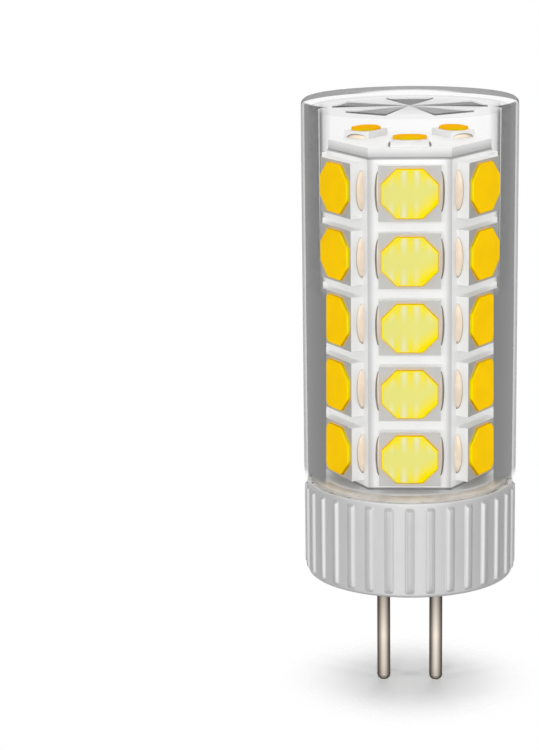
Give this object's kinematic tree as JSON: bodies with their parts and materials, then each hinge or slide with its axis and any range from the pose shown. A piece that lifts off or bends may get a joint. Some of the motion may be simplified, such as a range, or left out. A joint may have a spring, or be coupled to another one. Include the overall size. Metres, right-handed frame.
{
  "type": "corn led bulb",
  "caption": "Small bi-pin LED bulb: a ribbed ceramic base, a clear tube cover with a closed top and a six-sided column carrying rows of surface-mount LEDs.",
  "frame": {"origin": "centre of the base's bottom face, midway between the two pins", "axes": "+Z along the bulb's axis from the pins towards the closed end of the cover, X along the line through both pins, and one LED face looks along -Y"},
  "size_m": [0.016, 0.016, 0.045],
  "materials": {
    "cover": "clear",
    "adhesive": "satin",
    "ceramic": "satin",
    "pin_metal": "nickel plated",
    "white_board": "satin",
    "led_body": "matte",
    "phosphor": "satin",
    "phosphor_top": "satin",
    "solder": "smooth",
    "green_board": "satin",
    "black_plastic": "matte",
    "ferrite": "matte",
    "can": "satin",
    "resistor": "gloss",
    "wire_red": "satin",
    "wire_white": "satin"
  },
  "bodies": {
    "root": {"clear_cover": "cover", "cover_adhesive": "adhesive", "ceramic_base": "ceramic", "contact_pin_left": "pin_metal", "contact_pin_right": "pin_metal", "led_board": "white_board", "top_board": "white_board", "led_packages_face_1": "led_body", "led_packages_face_2": "led_body", "led_packages_face_3": "led_body", "led_packages_face_4": "led_body", "led_packages_face_5": "led_body", "led_packages_face_6": "led_body", "led_phosphor_face_1": "phosphor", "led_phosphor_face_2": "phosphor", "led_phosphor_face_3": "phosphor", "led_phosphor_face_4": "phosphor", "led_phosphor_face_5": "phosphor", "led_phosphor_face_6": "phosphor", "solder_fillets_face_1": "solder", "solder_fillets_face_2": "solder", "solder_fillets_face_3": "solder", "solder_fillets_face_4": "solder", "solder_fillets_face_5": "solder", "solder_fillets_face_6": "solder", "led_packages_top": "led_body", "led_phosphor_top": "phosphor_top", "solder_fillets_top": "solder", "driver_board": "green_board", "pin_solder": "solder", "bridge_rectifier": "black_plastic", "driver_ic": "black_plastic", "inductor": "ferrite", "smoothing_capacitor": "can", "freewheel_diode": "black_plastic", "sense_resistors": "resistor", "lead_positive": "wire_red", "lead_negative": "wire_white"}
  },
  "joints": []
}
